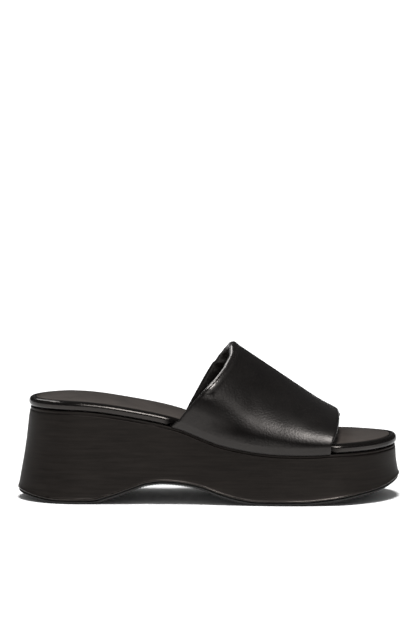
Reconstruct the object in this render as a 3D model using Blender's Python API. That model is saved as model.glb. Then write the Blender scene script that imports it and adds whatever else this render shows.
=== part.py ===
# A platform slide sandal for the right foot: a thin rubber outsole, a wedge platform,
# a padded footbed with its sock, and one wide padded band over the foot.
# Metres. +X runs to the toe, +Y to the inner side of the foot, +Z up from the floor.

import bisect
import math

import bmesh
import bpy
from mathutils import Vector

# Lengths, along the shoe
SOLE_LENGTH = 0.262
DECK_SETBACK = 0.0092
DECK_LENGTH = 0.2502
HEEL_ROUND = 0.034
TOE_ROUND = 0.050
TOE_SQUARENESS = 2.25

# Widths
BALL_WIDTH = 0.0856
HEEL_WIDTH = 0.0600
TOE_TIP_OFFSET = 0.009

# Heights of the platform's deck and of the ground line under the outsole
HEEL_HEIGHT = 0.0634
BALL_HEIGHT = 0.0342
DECK_TOE_LIFT = 0.0024
HEEL_BEVEL = 0.0046
ARCH_HEIGHT = 0.0133
TOE_SPRING = 0.0128

# Sole
OUTSOLE_THICKNESS = 0.0024
OUTSOLE_INSET = 0.0009
OUTSOLE_EDGE = 0.0007
HEEL_FLARE = 0.0092
TOE_FLARE = 0.0031
SIDE_FLARE = 0.0034
SHOULDER_RADIUS = 0.0020
BASE_RADIUS = 0.0008

# Gap between glued pieces, and the share of a quarter circle's radius at its middle
FIT = 0.0003
SLANT = math.sqrt(0.5)

# Footbed and sock
FOOTBED_THICKNESS = 0.0064
FOOTBED_OVERHANG = 0.0010
FOOTBED_NECK = 0.0016
RIM_WIDTH = 0.0034
SOCK_THICKNESS = 0.0011
SOCK_PROUD = 0.0002
HEEL_DISH = 0.0016
SOCK_EDGE = 0.0005

# Band
BAND_BACK_NEAR = 0.1055
BAND_BACK_FAR = 0.1110
BAND_BACK_TOP = 0.1470
BAND_FRONT_NEAR = 0.2137
BAND_FRONT_FAR = 0.2165
BAND_FRONT_TOP = 0.2210
INSTEP_TOP = 0.1080
VAMP_TOP = 0.0582
BAND_WALL = 0.0052
BAND_OUT = 0.0036
BAND_RIDGE = 0.0030
MARGIN_WALL = 0.0016
MARGIN_DEPTH = 0.0100
MARGIN_RAMP = 0.0020

# Outline of the deck. along: share of the deck's length. outer, inner: half widths to the two
# sides of the foot, the first two rows as shares of the heel's and the rest of the ball's half.
OUTLINE = [
    {"along": 0.00, "of": "heel", "outer": 0.98, "inner": 0.98},
    {"along": 0.13, "of": "heel", "outer": 1.00, "inner": 1.00},
    {"along": 0.28, "of": "heel", "outer": 1.00, "inner": 0.96},
    {"along": 0.42, "of": "ball", "outer": 0.72, "inner": 0.68},
    {"along": 0.52, "of": "ball", "outer": 0.79, "inner": 0.78},
    {"along": 0.62, "of": "ball", "outer": 0.86, "inner": 0.96},
    {"along": 0.72, "of": "ball", "outer": 0.89, "inner": 1.09},
    {"along": 0.82, "of": "ball", "outer": 0.86, "inner": 1.12},
    {"along": 0.91, "of": "ball", "outer": 0.77, "inner": 1.07},
    {"along": 1.00, "of": "ball", "outer": 0.64, "inner": 0.96},
]

# Side line of the deck. along: share of the sole's length. pitch: share of the fall from heel
# to ball. lift: share of the deck's rise at the toe.
DECK_LINE = [
    {"along": 0.00, "pitch": 1.000, "lift": 0.0},
    {"along": 0.11, "pitch": 1.000, "lift": 0.0},
    {"along": 0.165, "pitch": 0.985, "lift": 0.0},
    {"along": 0.215, "pitch": 0.945, "lift": 0.0},
    {"along": 0.265, "pitch": 0.880, "lift": 0.0},
    {"along": 0.32, "pitch": 0.795, "lift": 0.0},
    {"along": 0.375, "pitch": 0.695, "lift": 0.0},
    {"along": 0.425, "pitch": 0.575, "lift": 0.0},
    {"along": 0.478, "pitch": 0.385, "lift": 0.0},
    {"along": 0.53, "pitch": 0.220, "lift": 0.0},
    {"along": 0.584, "pitch": 0.115, "lift": 0.0},
    {"along": 0.635, "pitch": 0.045, "lift": 0.0},
    {"along": 0.69, "pitch": 0.010, "lift": 0.0},
    {"along": 0.75, "pitch": 0.000, "lift": 0.0},
    {"along": 0.84, "pitch": 0.000, "lift": 0.35},
    {"along": 0.92, "pitch": 0.000, "lift": 0.50},
    {"along": 1.00, "pitch": 0.000, "lift": 1.0},
]

# Ground line under the outsole. heel, arch and toe: shares of the three heights.
GROUND_LINE = [
    {"along": 0.000, "heel": 1.00, "arch": 0.00, "toe": 0.00},
    {"along": 0.030, "heel": 0.60, "arch": 0.00, "toe": 0.00},
    {"along": 0.065, "heel": 0.22, "arch": 0.00, "toe": 0.00},
    {"along": 0.100, "heel": 0.00, "arch": 0.00, "toe": 0.00},
    {"along": 0.195, "heel": 0.00, "arch": 0.00, "toe": 0.00},
    {"along": 0.240, "heel": 0.00, "arch": 0.22, "toe": 0.00},
    {"along": 0.295, "heel": 0.00, "arch": 0.60, "toe": 0.00},
    {"along": 0.345, "heel": 0.00, "arch": 0.93, "toe": 0.00},
    {"along": 0.380, "heel": 0.00, "arch": 1.00, "toe": 0.00},
    {"along": 0.425, "heel": 0.00, "arch": 0.94, "toe": 0.00},
    {"along": 0.480, "heel": 0.00, "arch": 0.73, "toe": 0.00},
    {"along": 0.530, "heel": 0.00, "arch": 0.38, "toe": 0.00},
    {"along": 0.580, "heel": 0.00, "arch": 0.12, "toe": 0.00},
    {"along": 0.625, "heel": 0.00, "arch": 0.00, "toe": 0.00},
    {"along": 0.740, "heel": 0.00, "arch": 0.00, "toe": 0.00},
    {"along": 0.790, "heel": 0.00, "arch": 0.00, "toe": 0.08},
    {"along": 0.845, "heel": 0.00, "arch": 0.00, "toe": 0.22},
    {"along": 0.900, "heel": 0.00, "arch": 0.00, "toe": 0.41},
    {"along": 0.950, "heel": 0.00, "arch": 0.00, "toe": 0.60},
    {"along": 1.000, "heel": 0.00, "arch": 0.00, "toe": 1.00},
]

# Wrapped side of the platform. down: share of its height. out: share of the flare.
SIDE_LINE = [
    {"down": 0.00, "out": 0.00},
    {"down": 0.10, "out": 0.13},
    {"down": 0.30, "out": 0.30},
    {"down": 0.55, "out": 0.54},
    {"down": 0.80, "out": 0.80},
    {"down": 1.00, "out": 1.00},
]

# Edges of the band. over: share of the way over the foot, from the outer side. back: share of
# the way from the seam's end to the top, front: the same at the front edge.
BAND_EDGES = [
    {"over": 0.00, "back": 0.11, "front": 0.00},
    {"over": 0.07, "back": 0.33, "front": 0.32},
    {"over": 0.13, "back": 0.52, "front": 0.52},
    {"over": 0.20, "back": 0.73, "front": 0.68},
    {"over": 0.28, "back": 0.90, "front": 0.82},
    {"over": 0.38, "back": 1.00, "front": 0.94},
    {"over": 0.50, "back": 1.00, "front": 1.00},
    {"over": 0.60, "back": 0.95, "front": 1.00},
    {"over": 0.70, "back": 0.82, "front": 0.92},
    {"over": 0.80, "back": 0.60, "front": 0.78},
    {"over": 0.90, "back": 0.36, "front": 0.50},
    {"over": 1.00, "back": 0.11, "front": 0.00},
]

# Crown of the band, from its back edge to its front. fall: share of the drop from instep to
# vamp. round: how full the section is, 2 for an ellipse.
BAND_CROWN = [
    {"along": -0.60, "fall": -0.62, "round": 1.95},
    {"along": 0.00, "fall": 0.00, "round": 1.95},
    {"along": 0.39, "fall": 0.405, "round": 2.02},
    {"along": 0.61, "fall": 0.634, "round": 2.12},
    {"along": 0.83, "fall": 0.858, "round": 2.28},
    {"along": 0.94, "fall": 0.950, "round": 2.36},
    {"along": 1.00, "fall": 1.000, "round": 2.40},
]

# Foot of the band, where it turns under the footbed. out and up: shares of the wall from the
# deck's edge. wall: share of the band's wall. turn: degrees of its outward side below level.
# sweep: how far its back edge has moved forward, as a share of the wall.
BAND_FOOT = [
    {"out": 0.42, "up": 0.98, "wall": 0.50, "turn": 4.0, "sweep": 0.68},
    {"out": 0.33, "up": 0.42, "wall": 0.46, "turn": 22.0, "sweep": 0.28},
    {"out": 0.10, "up": 0.13, "wall": 0.40, "turn": 62.0, "sweep": 0.06},
]

# Soft folds pressed into the band. Each runs between two places, along: share from back edge
# to front, over: share of the way over. depth and reach: shares of the wall.
BAND_FOLDS = [
    {"along_a": 0.10, "over_a": 0.20, "along_b": 0.98, "over_b": 0.045, "depth": 0.26, "reach": 1.5},
    {"along_a": 0.16, "over_a": 0.34, "along_b": 0.95, "over_b": 0.15, "depth": -0.14, "reach": 2.2},
]

ARC_STEPS = 7
MIDDLE_STEPS = 22
BAND_STEPS_OVER = 24
BAND_STEPS_ALONG = 9
DISH_STEPS = 4


def read_row(rows, key, column, value):
    # Smooth reading between rows that never overshoots them.
    keys = [row[key] for row in rows]
    heights = [row[column] for row in rows]
    if value <= keys[0]:
        return heights[0]
    if value >= keys[-1]:
        return heights[-1]
    slopes = [
        (heights[i + 1] - heights[i]) / (keys[i + 1] - keys[i]) for i in range(len(keys) - 1)
    ]

    def tangent(i):
        if i == 0 or i == len(keys) - 1:
            return slopes[min(i, len(slopes) - 1)]
        before = slopes[i - 1]
        after = slopes[i]
        if before * after <= 0.0:
            return 0.0
        return 2.0 * before * after / (before + after)

    i = bisect.bisect_right(keys, value) - 1
    span = keys[i + 1] - keys[i]
    t = (value - keys[i]) / span
    return (
        heights[i] * (1 + 2 * t) * (1 - t) ** 2
        + span * tangent(i) * t * (1 - t) ** 2
        + heights[i + 1] * t * t * (3 - 2 * t)
        + span * tangent(i + 1) * t * t * (t - 1)
    )


def smooth_step(value):
    t = min(1.0, max(0.0, value))
    return t * t * (3.0 - 2.0 * t)


def deck_height(x):
    along = x / SOLE_LENGTH
    pitch = read_row(DECK_LINE, "along", "pitch", along)
    lift = read_row(DECK_LINE, "along", "lift", along)
    return BALL_HEIGHT + (HEEL_HEIGHT - BALL_HEIGHT) * pitch + DECK_TOE_LIFT * lift


def ground_height(x):
    along = x / SOLE_LENGTH
    return (
        HEEL_BEVEL * read_row(GROUND_LINE, "along", "heel", along)
        + ARCH_HEIGHT * read_row(GROUND_LINE, "along", "arch", along)
        + TOE_SPRING * read_row(GROUND_LINE, "along", "toe", along)
    )


def half_width(x, side):
    # Distance of the deck's edge from the shoe's line, on the outer or inner side.
    along = (x - DECK_SETBACK) / DECK_LENGTH
    rows = []
    for row in OUTLINE:
        half = (HEEL_WIDTH if row["of"] == "heel" else BALL_WIDTH) / 2.0
        rows.append({"along": row["along"], "half": half * row[side]})
    full = read_row(rows, "along", "half", along)
    from_heel = x - DECK_SETBACK
    from_toe = DECK_SETBACK + DECK_LENGTH - x
    if from_heel < HEEL_ROUND:
        share = max(0.0, 1.0 - from_heel / HEEL_ROUND)
        return full * math.sqrt(max(0.0, 1.0 - share * share))
    if from_toe < TOE_ROUND:
        share = max(0.0, 1.0 - from_toe / TOE_ROUND)
        rounding = max(0.0, 1.0 - share ** TOE_SQUARENESS) ** (1.0 / TOE_SQUARENESS)
        tip = TOE_TIP_OFFSET if side == "inner" else -TOE_TIP_OFFSET
        return tip + (full - tip) * rounding
    return full


def stations():
    # Places along the deck, close together at the round ends and where the band goes in.
    quarter = [math.pi / 2 * i / ARC_STEPS for i in range(ARC_STEPS + 1)]
    heel_end = DECK_SETBACK
    toe_end = DECK_SETBACK + DECK_LENGTH
    places = [heel_end + HEEL_ROUND * (1.0 - math.cos(a)) for a in quarter]
    first = heel_end + HEEL_ROUND
    last = toe_end - TOE_ROUND
    places += [first + (last - first) * i / MIDDLE_STEPS for i in range(1, MIDDLE_STEPS)]
    places += [toe_end - TOE_ROUND * (1.0 - math.cos(a)) for a in reversed(quarter)]
    for end, way in margin_ends():
        places += [end, end + way * MARGIN_RAMP]
    spaced = [places[0]]
    for place in sorted(places):
        if place - spaced[-1] > FIT:
            spaced.append(place)
    return spaced


def margin_ends():
    # Ends of the slots that hold the band's margins, each with its way out along the shoe.
    return [
        (BAND_BACK_NEAR - FIT, -1.0),
        (BAND_BACK_FAR - FIT, -1.0),
        (BAND_FRONT_NEAR + FIT, 1.0),
        (BAND_FRONT_FAR + FIT, 1.0),
    ]


def slot_share(x, y):
    # 1 where the band's margin lies under the footbed, 0 away from it.
    if y < 0.0:
        back = BAND_BACK_NEAR
        front = BAND_FRONT_NEAR
    else:
        back = BAND_BACK_FAR
        front = BAND_FRONT_FAR
    outside = max(back - FIT - x, x - front - FIT)
    return 1.0 - smooth_step(outside / MARGIN_RAMP)


def outline():
    # The deck's edge from the heel along the outer side to the toe and back along the inner
    # side, each place with its direction outwards.
    places = stations()
    points = [(places[0], 0.0)]
    points += [(x, -half_width(x, "outer")) for x in places[1:-1]]
    points.append((places[-1], TOE_TIP_OFFSET))
    points += [(x, half_width(x, "inner")) for x in reversed(places[1:-1])]
    edge = []
    count = len(points)
    for i, (x, y) in enumerate(points):
        after = points[(i + 1) % count]
        before = points[i - 1]
        along = Vector((after[0] - before[0], after[1] - before[1]))
        along.normalize()
        edge.append((Vector((x, y)), Vector((along.y, -along.x))))
    return edge


def ring(edge, out, height):
    # A closed row of points: out(normal, x, y) moves each off the deck's edge, height(x, y)
    # gives its level.
    row = []
    for place, normal in edge:
        spot = place + normal * out(normal, place.x, place.y)
        row.append(Vector((spot.x, spot.y, height(spot.x, spot.y))))
    return row


def flare(normal):
    back = max(0.0, -normal.x) ** 2
    front = max(0.0, normal.x) ** 2
    return SIDE_FLARE + (HEEL_FLARE - SIDE_FLARE) * back + (TOE_FLARE - SIDE_FLARE) * front


def add_cap(bm, row, across, level, upward):
    # Closes a ring with strips from side to side, so that it bends along the shoe, and across
    # it where level(x, share) is not flat.
    count = len(row)
    half = count // 2
    lines = []
    for i in range(1, half):
        near = row[i]
        far = row[count - i]
        line = [near]
        for k in range(1, across):
            share = k / across
            spot = near.co.lerp(far.co, share)
            spot.z += level(spot.x, share)
            line.append(bm.verts.new(spot))
        line.append(far)
        lines.append(line)
    faces = []
    for line, following in zip(lines, lines[1:]):
        for k in range(across):
            faces.append([line[k], following[k], following[k + 1], line[k + 1]])
    for pole, line, ahead in ((row[0], lines[0], True), (row[half], lines[-1], False)):
        for k in range(across):
            pair = [line[k], line[k + 1]] if ahead else [line[k + 1], line[k]]
            faces.append([pole] + pair)
    for face in faces:
        bm.faces.new(face if upward else face[::-1])


def flat(x, share):
    return 0.0


def add_rings(bm, rows):
    # Joins each closed row of points to the next one.
    rings = [[bm.verts.new(point) for point in row] for row in rows]
    for low, high in zip(rings, rings[1:]):
        count = len(low)
        for i in range(count):
            j = (i + 1) % count
            bm.faces.new([low[i], low[j], high[j], high[i]])
    return rings


def stack(name, rows, low_level, top_level):
    # A closed body from rings listed from the bottom up. Each level shapes its cap across the
    # shoe, or is flat there.
    bm = bmesh.new()
    rings = add_rings(bm, rows)
    for row, level, upward in ((rings[0], low_level, False), (rings[-1], top_level, True)):
        add_cap(bm, row, 1 if level is flat else DISH_STEPS, level, upward)
    return finish_body(name, bm)


def finish_body(name, bm):
    bmesh.ops.remove_doubles(bm, verts=bm.verts[:], dist=1e-6)
    bmesh.ops.recalc_face_normals(bm, faces=bm.faces[:])
    mesh = bpy.data.meshes.new(name)
    bm.to_mesh(mesh)
    bm.free()
    mesh.shade_smooth()
    mesh.set_sharp_from_angle(angle=math.radians(35))
    return bpy.data.objects.new(name, mesh)


def make_outsole(edge):
    def row(inset, rise):
        return ring(
            edge,
            lambda normal, x, y: flare(normal) - OUTSOLE_INSET - inset,
            lambda x, y: ground_height(x) + rise,
        )

    rows = [
        row(OUTSOLE_EDGE, 0.0),
        row(OUTSOLE_EDGE * (1.0 - SLANT), OUTSOLE_EDGE * (1.0 - SLANT)),
        row(0.0, OUTSOLE_EDGE),
        row(0.0, OUTSOLE_THICKNESS - FIT),
        row(FIT, OUTSOLE_THICKNESS),
    ]
    return stack("outsole", rows, flat, flat)


def base_height(x):
    # Underside of the platform, seated on the outsole.
    return ground_height(x) + OUTSOLE_THICKNESS + FIT


def make_platform(edge):
    def side(out_share, down):
        def out(normal, x, y):
            return flare(normal) * out_share

        def level(x, y):
            high = deck_height(x) - SHOULDER_RADIUS
            low = base_height(x) + BASE_RADIUS
            return high + (low - high) * down

        return ring(edge, out, level)

    def shoulder(angle):
        inset = SHOULDER_RADIUS * (1.0 - math.sin(angle))
        drop = SHOULDER_RADIUS * (1.0 - math.cos(angle))
        return ring(edge, lambda normal, x, y: -inset, lambda x, y: deck_height(x) - drop)

    rows = [ring(edge, lambda n, x, y: flare(n) - BASE_RADIUS, lambda x, y: base_height(x))]
    rows += [side(row["out"], row["down"]) for row in reversed(SIDE_LINE)]
    rows += [shoulder(math.radians(angle)) for angle in (60.0, 30.0, 0.0)]
    return stack("platform", rows, flat, flat)


def footbed_low(x, y):
    # Underside of the footbed's edge: on the deck, or over the band's margin.
    return deck_height(x) + FIT + (MARGIN_WALL + FIT) * slot_share(x, y)


def footbed_top(x):
    return deck_height(x) + FIT + FOOTBED_THICKNESS


def footbed_bulge(x, y):
    # How far the rolled edge stands out of the deck. The band pulls it in.
    pulled = slot_share(x, y)
    return FOOTBED_OVERHANG * (1.0 - pulled) + FIT * 0.5 * pulled


def dish(x, share):
    # Hollow of the footbed across the shoe, deepest under the heel.
    along = (x - DECK_SETBACK) / DECK_LENGTH
    fade = 1.0 - smooth_step((along - 0.30) / 0.35)
    return -HEEL_DISH * fade * (1.0 - (2.0 * share - 1.0) ** 2)


def make_footbed(edge):
    slot_inset = MARGIN_DEPTH + FIT

    def rolled(angle):
        rise = 0.5 + 0.5 * math.sin(angle)

        def out(normal, x, y):
            return (footbed_bulge(x, y) + FOOTBED_NECK) * math.cos(angle) - FOOTBED_NECK

        def level(x, y):
            low = footbed_low(x, y)
            return low + (footbed_top(x) - low) * rise

        return ring(edge, out, level)

    recess = SOCK_THICKNESS - SOCK_PROUD + FIT
    rows = [
        ring(edge, lambda n, x, y: -slot_inset - FIT, lambda x, y: deck_height(x) + FIT),
        ring(edge, lambda n, x, y: -slot_inset, footbed_low),
    ]
    rows += [rolled(math.radians(angle)) for angle in (-90, -62, -34, -8, 18, 44, 68)]
    rows.append(ring(edge, lambda n, x, y: -RIM_WIDTH, lambda x, y: footbed_top(x)))
    rows.append(
        ring(edge, lambda n, x, y: -RIM_WIDTH - FIT, lambda x, y: footbed_top(x) - recess)
    )
    return stack("footbed", rows, flat, dish)


def make_sock(edge):
    floor = SOCK_PROUD - SOCK_THICKNESS

    def row(extra, rise):
        inset = RIM_WIDTH + 2.0 * FIT + extra
        return ring(edge, lambda n, x, y: -inset, lambda x, y: footbed_top(x) + rise)

    rows = [
        row(SOCK_EDGE, floor),
        row(0.0, floor),
        row(0.0, SOCK_PROUD - SOCK_EDGE),
        row(SOCK_EDGE, SOCK_PROUD),
    ]
    return stack("sock", rows, dish, dish)


def band_share(x):
    return (x - BAND_BACK_TOP) / (BAND_FRONT_TOP - BAND_BACK_TOP)


def band_section(x, over):
    # A point of the band's outer face at this place along the shoe.
    share = band_share(x)
    fall = read_row(BAND_CROWN, "along", "fall", share)
    fullness = read_row(BAND_CROWN, "along", "round", share)
    crown = INSTEP_TOP + (VAMP_TOP - INSTEP_TOP) * fall
    foot = deck_height(x) + BAND_WALL
    angle = math.pi * over
    reach = abs(math.cos(angle)) ** (2.0 / fullness)
    rise = max(0.0, math.sin(angle)) ** (2.0 / fullness)
    outer = half_width(x, "outer") + BAND_OUT
    inner = half_width(x, "inner") + BAND_OUT
    ridge = (inner - outer) / 2.0 + BAND_RIDGE
    if over < 0.5:
        y = ridge - (outer + ridge) * reach
    else:
        y = ridge + (inner - ridge) * reach
    return Vector((x, y, foot + (crown - foot) * rise))


def band_edge(over, column):
    if column == "back":
        near, top, far = BAND_BACK_NEAR, BAND_BACK_TOP, BAND_BACK_FAR
    else:
        near, top, far = BAND_FRONT_NEAR, BAND_FRONT_TOP, BAND_FRONT_FAR
    share = read_row(BAND_EDGES, "over", column, over)
    seam = near if over < 0.5 else far
    return seam + (top - seam) * share


def fold_push(along, over, length, girth):
    # Depth of the folds at a place, as a share of the wall.
    push = 0.0
    for fold in BAND_FOLDS:
        start = Vector((fold["along_a"] * length, fold["over_a"] * girth))
        end = Vector((fold["along_b"] * length, fold["over_b"] * girth))
        here = Vector((along * length, over * girth))
        run = end - start
        t = min(1.0, max(0.0, (here - start).dot(run) / run.length_squared))
        away = (here - start - run * t).length / (fold["reach"] * BAND_WALL)
        push += fold["depth"] * math.exp(-away * away)
    return push


def band_point(along, over):
    # Outer face of the band between its edges, with its direction outwards.
    step = 1e-4
    back = band_edge(over, "back")
    front = band_edge(over, "front")
    x = back + (front - back) * along
    here = band_section(x, over)
    forward = band_section(x + step, over) - here
    low = max(0.0, over - step)
    high = min(1.0, over + step)
    around = band_section(x, high) - band_section(x, low)
    normal = forward.cross(around)
    normal.normalize()
    girth = math.pi * (INSTEP_TOP + VAMP_TOP - BALL_HEIGHT * 2.0) / 2.0
    sunk = fold_push(along, over, front - back, girth) * BAND_WALL
    return here - normal * sunk, normal


def wall_share(over):
    # Thickness of the band, thinner towards its feet.
    near_foot = min(over, 1.0 - over)
    first = BAND_FOOT[0]["wall"]
    return first + (1.0 - first) * smooth_step(near_foot / 0.12)


def edge_steps(length, wall):
    # Places along the band between its edges, closer on the two rolled rims.
    radius = wall / 2.0
    rim = [radius * (1.0 - math.cos(math.radians(a))) for a in (0.0, 28.0, 55.0, 90.0)]
    inside = length - 2.0 * radius
    middle = [radius + inside * i / BAND_STEPS_ALONG for i in range(1, BAND_STEPS_ALONG)]
    ends = [length - place for place in reversed(rim)]
    return rim + middle + ends


def half_wall(place, length, wall):
    radius = wall / 2.0
    inward = min(place, length - place)
    if inward >= radius:
        return radius
    return math.sqrt(max(0.0, radius * radius - (radius - inward) ** 2))


def wall_loop(centres):
    # The closed section of the wall at one place over the foot, from the middle points, each
    # with its direction outwards and half its thickness: outer face forward, inner face back.
    outer = [middle + normal * half for middle, normal, half in centres]
    inner = [middle - normal * half for middle, normal, half in centres[1:-1]]
    return outer + inner[::-1]


def side_loop(over):
    wall = BAND_WALL * wall_share(over)
    length = band_edge(over, "front") - band_edge(over, "back")
    centres = []
    for place in edge_steps(length, wall):
        point, normal = band_point(place / length, over)
        centres.append((point - normal * wall / 2.0, normal, half_wall(place, length, wall)))
    return wall_loop(centres)


def foot_loop(side, out, up, wall, turn, sweep):
    if side == "outer":
        way, back, front = -1.0, BAND_BACK_NEAR, BAND_FRONT_NEAR
    else:
        way, back, front = 1.0, BAND_BACK_FAR, BAND_FRONT_FAR
    back += sweep
    length = front - back
    angle = math.radians(turn)
    normal = Vector((0.0, way * math.cos(angle), -math.sin(angle)))
    centres = []
    for place in edge_steps(length, wall):
        x = back + place
        middle = Vector((x, way * (half_width(x, side) + out), deck_height(x) + up))
        centres.append((middle, normal, half_wall(place, length, wall)))
    return wall_loop(centres)


def band_feet(side):
    # From the margin's end under the footbed out to the seam and up to the band's side.
    level = FIT + MARGIN_WALL / 2.0
    turn_in = -SHOULDER_RADIUS * 0.9
    loops = [
        foot_loop(side, -MARGIN_DEPTH, level, MARGIN_WALL, 90.0, 0.0),
        foot_loop(side, (turn_in - MARGIN_DEPTH) / 2.0, level, MARGIN_WALL, 90.0, 0.0),
        foot_loop(side, turn_in, level, MARGIN_WALL, 86.0, 0.0),
    ]
    for row in reversed(BAND_FOOT):
        loops.append(
            foot_loop(
                side,
                row["out"] * BAND_WALL,
                row["up"] * BAND_WALL,
                row["wall"] * BAND_WALL,
                row["turn"],
                row["sweep"] * BAND_WALL,
            )
        )
    return loops


def make_upper():
    loops = band_feet("outer")
    loops += [side_loop(i / BAND_STEPS_OVER) for i in range(BAND_STEPS_OVER + 1)]
    loops += reversed(band_feet("inner"))
    bm = bmesh.new()
    rings = add_rings(bm, loops)
    for loop in (rings[0], rings[-1]):
        half = len(loop) // 2
        for i in range(1, half - 1):
            bm.faces.new([loop[i], loop[i + 1], loop[-i - 1], loop[-i]])
        bm.faces.new([loop[0], loop[1], loop[-1]])
        bm.faces.new([loop[half - 1], loop[half], loop[half + 1]])
    return finish_body("upper", bm)


def make_material(name, colour, roughness):
    material = bpy.data.materials.new(name)
    material.use_nodes = True
    shader = material.node_tree.nodes["Principled BSDF"]
    shader.inputs["Base Color"].default_value = (*colour, 1.0)
    shader.inputs["Roughness"].default_value = roughness
    shader.inputs["Metallic"].default_value = 0.0
    material.diffuse_color = (*colour, 1.0)
    return material


def clear_scene():
    for thing in list(bpy.data.objects):
        bpy.data.objects.remove(thing, do_unlink=True)


def stand_at_origin(parts):
    # Puts the middle of the whole shoe over the origin, with the sole on the floor.
    spots = [vertex.co for part in parts for vertex in part.data.vertices]
    low = [min(spot[i] for spot in spots) for i in range(3)]
    high = [max(spot[i] for spot in spots) for i in range(3)]
    shift = Vector((-(low[0] + high[0]) / 2.0, -(low[1] + high[1]) / 2.0, -low[2]))
    for part in parts:
        for vertex in part.data.vertices:
            vertex.co += shift


def main():
    clear_scene()
    shoe = bpy.data.collections.new("platform_slide")
    bpy.context.scene.collection.children.link(shoe)
    edge = outline()
    finishes = [
        (make_outsole(edge), "black_rubber", (0.022, 0.021, 0.020), 0.75),
        (make_platform(edge), "wrapped_leather", (0.017, 0.016, 0.015), 0.55),
        (make_footbed(edge), "rolled_leather", (0.018, 0.016, 0.015), 0.35),
        (make_sock(edge), "sock_leather", (0.075, 0.064, 0.056), 0.65),
        (make_upper(), "padded_leather", (0.020, 0.018, 0.017), 0.42),
    ]
    for part, name, colour, roughness in finishes:
        part.data.materials.append(make_material(name, colour, roughness))
        shoe.objects.link(part)
    stand_at_origin([finish[0] for finish in finishes])


main()
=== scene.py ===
import bisect
import math

import bmesh
import bpy
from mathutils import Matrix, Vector, noise


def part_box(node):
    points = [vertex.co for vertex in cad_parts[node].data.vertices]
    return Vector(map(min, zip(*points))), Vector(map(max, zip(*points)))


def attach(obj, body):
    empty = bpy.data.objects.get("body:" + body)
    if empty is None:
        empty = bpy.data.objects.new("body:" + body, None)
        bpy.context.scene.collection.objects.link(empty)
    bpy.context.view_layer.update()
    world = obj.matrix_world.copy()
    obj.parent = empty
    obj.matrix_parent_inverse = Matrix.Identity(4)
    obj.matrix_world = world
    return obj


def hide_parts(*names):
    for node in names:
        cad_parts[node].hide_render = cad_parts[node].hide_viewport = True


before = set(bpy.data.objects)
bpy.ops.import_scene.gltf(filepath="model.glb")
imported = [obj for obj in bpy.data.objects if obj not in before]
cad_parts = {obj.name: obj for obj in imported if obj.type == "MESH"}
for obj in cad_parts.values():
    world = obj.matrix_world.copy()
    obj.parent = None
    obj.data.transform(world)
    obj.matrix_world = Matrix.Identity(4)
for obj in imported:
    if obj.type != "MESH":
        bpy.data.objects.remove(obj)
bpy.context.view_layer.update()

print("frame loaded")

# A black leather platform slide for the right foot, seen from its outer side.
# Metres: +X to the toe, +Y to the inner side of the foot, +Z up from the floor.
mm = 0.001
gap = 0.3 * mm  # glued pieces stand this far apart

platformLow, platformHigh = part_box("platform")
soleLength = platformHigh.x - platformLow.x
heelX = platformLow.x
rearPoints = [v.co.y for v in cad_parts["platform"].data.vertices if v.co.x < heelX + 0.2 * mm]
shoeLineY = sum(rearPoints) / len(rearPoints)  # the line through the middle of the heel


# Reading of tables and outlines

def readRow(rows, key, column, value):
    # smooth between rows, with no overshoot
    keys = [row[key] for row in rows]
    heights = [row[column] for row in rows]
    if value <= keys[0]:
        return heights[0]
    if value >= keys[-1]:
        return heights[-1]
    slopes = [(heights[i + 1] - heights[i]) / (keys[i + 1] - keys[i]) for i in range(len(keys) - 1)]

    def tangent(i):
        if i == 0 or i == len(keys) - 1:
            return slopes[min(i, len(slopes) - 1)]
        before, after = slopes[i - 1], slopes[i]
        if before * after <= 0:
            return 0
        return 2 * before * after / (before + after)

    i = bisect.bisect_right(keys, value) - 1
    span = keys[i + 1] - keys[i]
    t = (value - keys[i]) / span
    return (
        heights[i] * (1 + 2 * t) * (1 - t) ** 2
        + span * tangent(i) * t * (1 - t) ** 2
        + heights[i + 1] * t * t * (3 - 2 * t)
        + span * tangent(i + 1) * t * t * (t - 1)
    )


def smoothStep(value):
    t = min(1, max(0, value))
    return t * t * (3 - 2 * t)


def bump(distance, reach):
    return math.exp(-(distance / reach) ** 2)


sole = {
    "deckSetback": 9.2 * mm, "deckLength": 250.2 * mm,
    "heelRound": 34 * mm, "toeRound": 50 * mm, "toeSquareness": 2.25, "toeTipOffset": 9 * mm,
    "ballWidth": 85.6 * mm, "heelWidth": 60 * mm,
    "heelHeight": 63.4 * mm, "ballHeight": 34.2 * mm, "deckToeLift": 2.4 * mm,
    "heelBevel": 4.6 * mm, "archHeight": 13.3 * mm, "toeSpring": 12.8 * mm,
    "heelFlare": 9.2 * mm, "toeFlare": 3.1 * mm, "sideFlare": 3.4 * mm,
}

# half widths of the deck, as shares of half the heel's or the ball's width
outlineRows = [
    {"along": 0.00, "of": "heelWidth", "outer": 0.98, "inner": 0.98},
    {"along": 0.13, "of": "heelWidth", "outer": 1.00, "inner": 1.00},
    {"along": 0.28, "of": "heelWidth", "outer": 1.00, "inner": 0.96},
    {"along": 0.42, "of": "ballWidth", "outer": 0.72, "inner": 0.68},
    {"along": 0.52, "of": "ballWidth", "outer": 0.79, "inner": 0.78},
    {"along": 0.62, "of": "ballWidth", "outer": 0.86, "inner": 0.96},
    {"along": 0.72, "of": "ballWidth", "outer": 0.89, "inner": 1.09},
    {"along": 0.82, "of": "ballWidth", "outer": 0.86, "inner": 1.12},
    {"along": 0.91, "of": "ballWidth", "outer": 0.77, "inner": 1.07},
    {"along": 1.00, "of": "ballWidth", "outer": 0.64, "inner": 0.96},
]

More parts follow.
